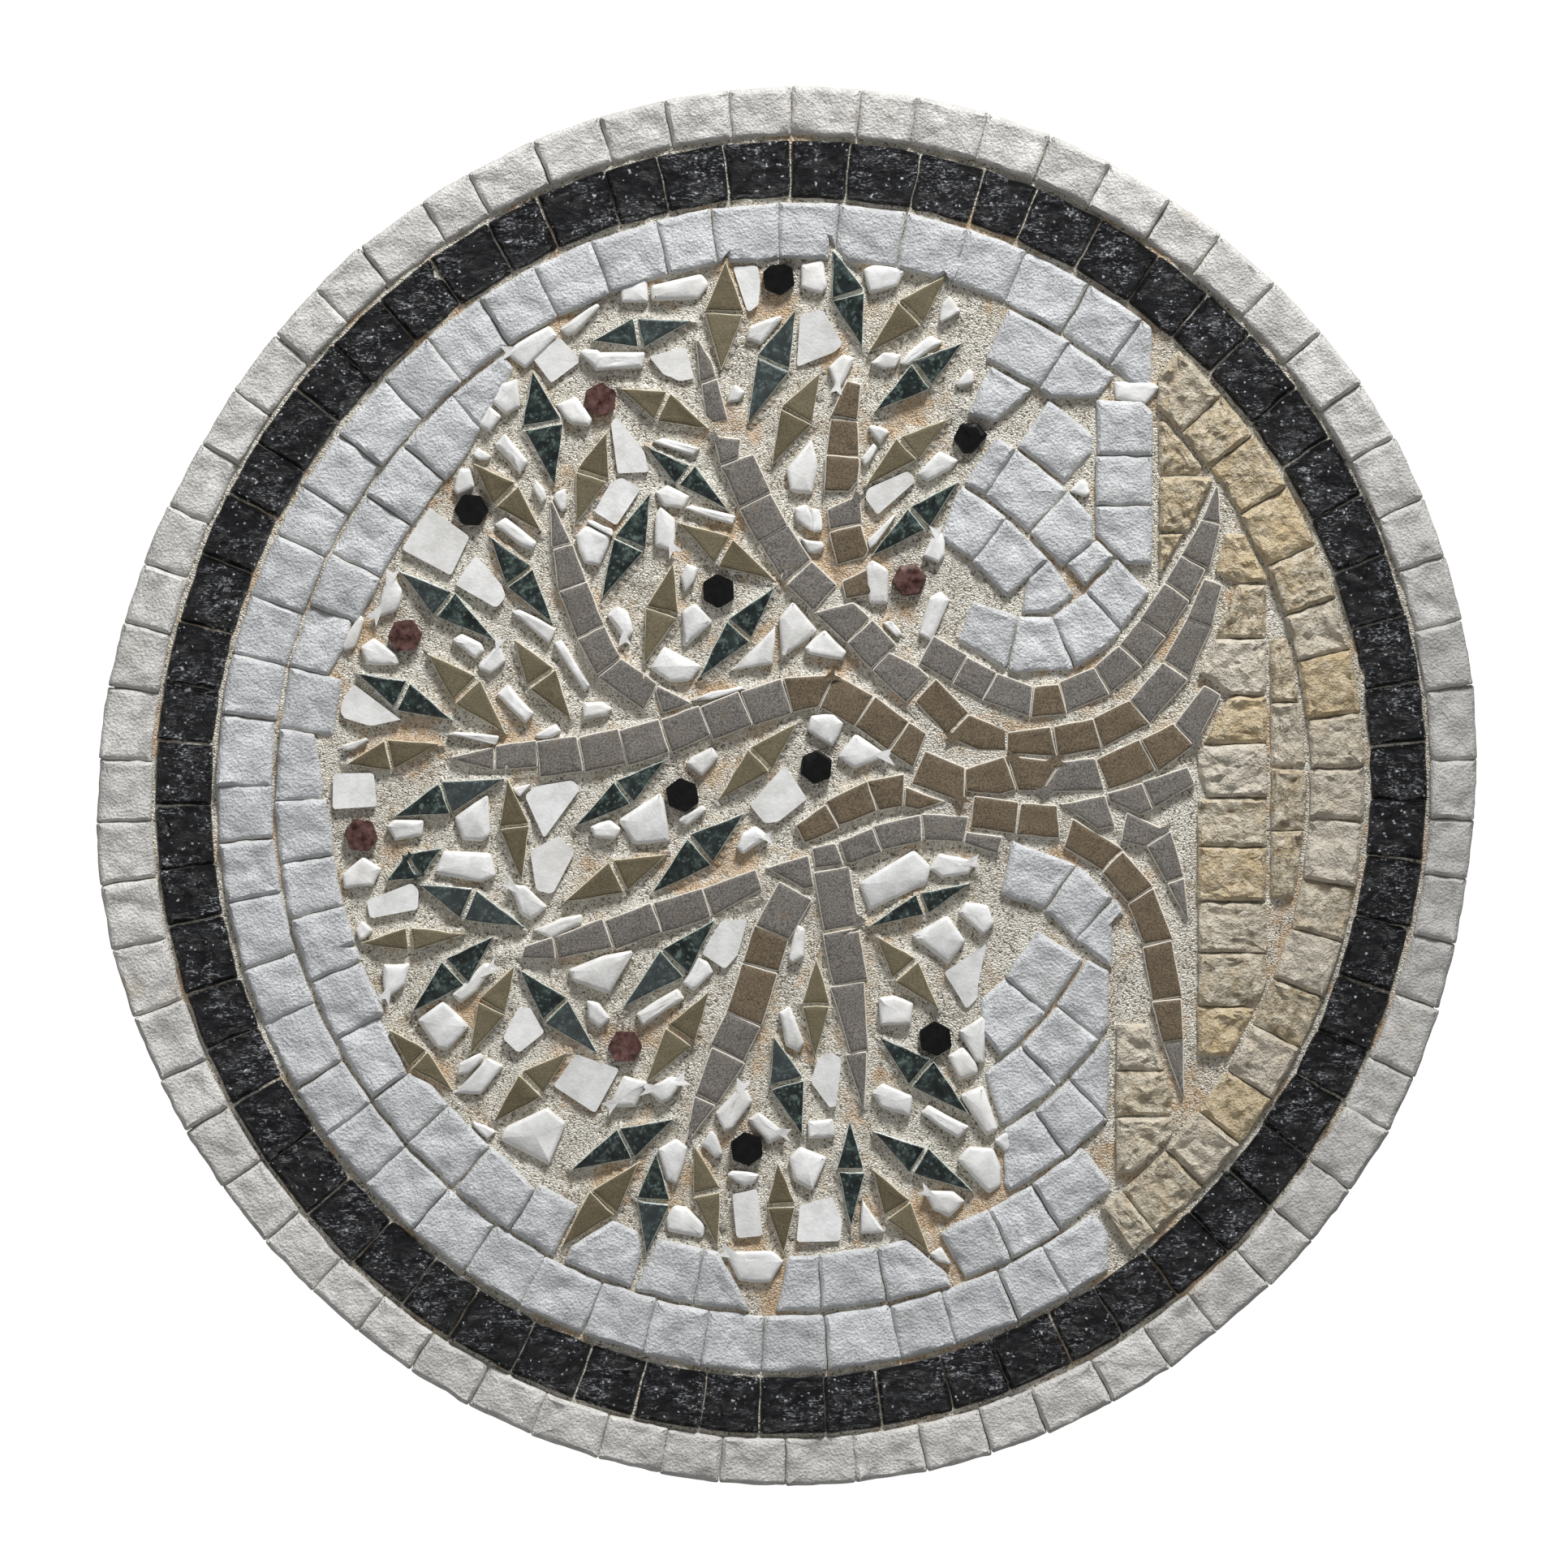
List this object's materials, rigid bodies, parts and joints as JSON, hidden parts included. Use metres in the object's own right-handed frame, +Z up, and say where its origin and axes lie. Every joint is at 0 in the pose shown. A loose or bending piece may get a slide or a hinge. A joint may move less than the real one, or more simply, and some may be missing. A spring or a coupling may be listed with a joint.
{
  "type": "mosaic panel",
  "caption": "Round stone mosaic wall panel with an olive tree in split and sawn stone, set in a sandy mortar slab.",
  "frame": {"origin": "middle of the flat back, on the wall plane", "axes": "-Y out of the wall towards the viewer, +Z up, +X to the right; the tree stands upright, though the picture shows it lying on its side"},
  "size_m": [0.2319, 0.0155, 0.2287],
  "materials": {
    "sandy_lime_mortar": "coarse sandy lime mortar, rough, with a few rusty stains",
    "warm_white_marble": "split faces, rim cut smooth and worn",
    "black_stone": "split faces, near-black and crystalline",
    "cool_white_marble": "split faces, cool white",
    "yellow_limestone": "rough split faces, beige with ochre",
    "grey_brown_sandstone": "sawn flat and grainy, grey and brown pieces",
    "green_marble": "honed dark green marble with pale veins",
    "olive_sandstone": "sawn olive-brown sandstone, matt"
  },
  "bodies": {
    "root": {"mortar_bed": "sandy_lime_mortar", "outer_white_course": "warm_white_marble", "black_course": "black_stone", "white_field": "cool_white_marble", "ground_course": "yellow_limestone", "olive_tree": "grey_brown_sandstone", "leaf_green_01": "green_marble", "leaf_green_02": "green_marble", "leaf_green_03": "green_marble", "leaf_green_04": "green_marble", "leaf_green_05": "green_marble", "leaf_green_06": "green_marble", "leaf_green_07": "green_marble", "leaf_green_08": "green_marble", "leaf_green_09": "green_marble", "leaf_green_10": "green_marble", "leaf_green_11": "green_marble", "leaf_green_12": "green_marble", "leaf_green_13": "green_marble", "leaf_green_14": "green_marble", "leaf_green_15": "green_marble", "leaf_green_16": "green_marble", "leaf_green_17": "green_marble", "leaf_green_18": "green_marble", "leaf_green_19": "green_marble", "leaf_green_20": "green_marble", "leaf_green_21": "green_marble", "leaf_green_22": "green_marble", "leaf_green_23": "green_marble", "leaf_green_24": "green_marble", "leaf_green_25": "green_marble", "leaf_green_26": "green_marble", "leaf_green_27": "green_marble", "leaf_tan_01": "olive_sandstone", "leaf_tan_02": "olive_sandstone", "leaf_tan_03": "olive_sandstone", "leaf_tan_04": "olive_sandstone", "leaf_tan_05": "olive_sandstone", "leaf_tan_06": "olive_sandstone", "leaf_tan_07": "olive_sandstone", "leaf_tan_08": "olive_sandstone", "leaf_tan_09": "olive_sandstone", "leaf_tan_10": "olive_sandstone", "leaf_tan_11": "olive_sandstone", "leaf_tan_12": "olive_sandstone", "leaf_tan_13": "olive_sandstone", "leaf_tan_14": "olive_sandstone", "leaf_tan_15": "olive_sandstone", "leaf_tan_16": "olive_sandstone", "leaf_tan_17": "olive_sandstone", "leaf_tan_18": "olive_sandstone", "leaf_tan_19": "olive_sandstone", "leaf_tan_20": "olive_sandstone", "leaf_tan_21": "olive_sandstone", "leaf_tan_22": "olive_sandstone", "leaf_tan_23": "olive_sandstone", "leaf_tan_24": "olive_sandstone", "leaf_tan_25": "olive_sandstone", "leaf_tan_26": "olive_sandstone"}
  },
  "joints": []
}
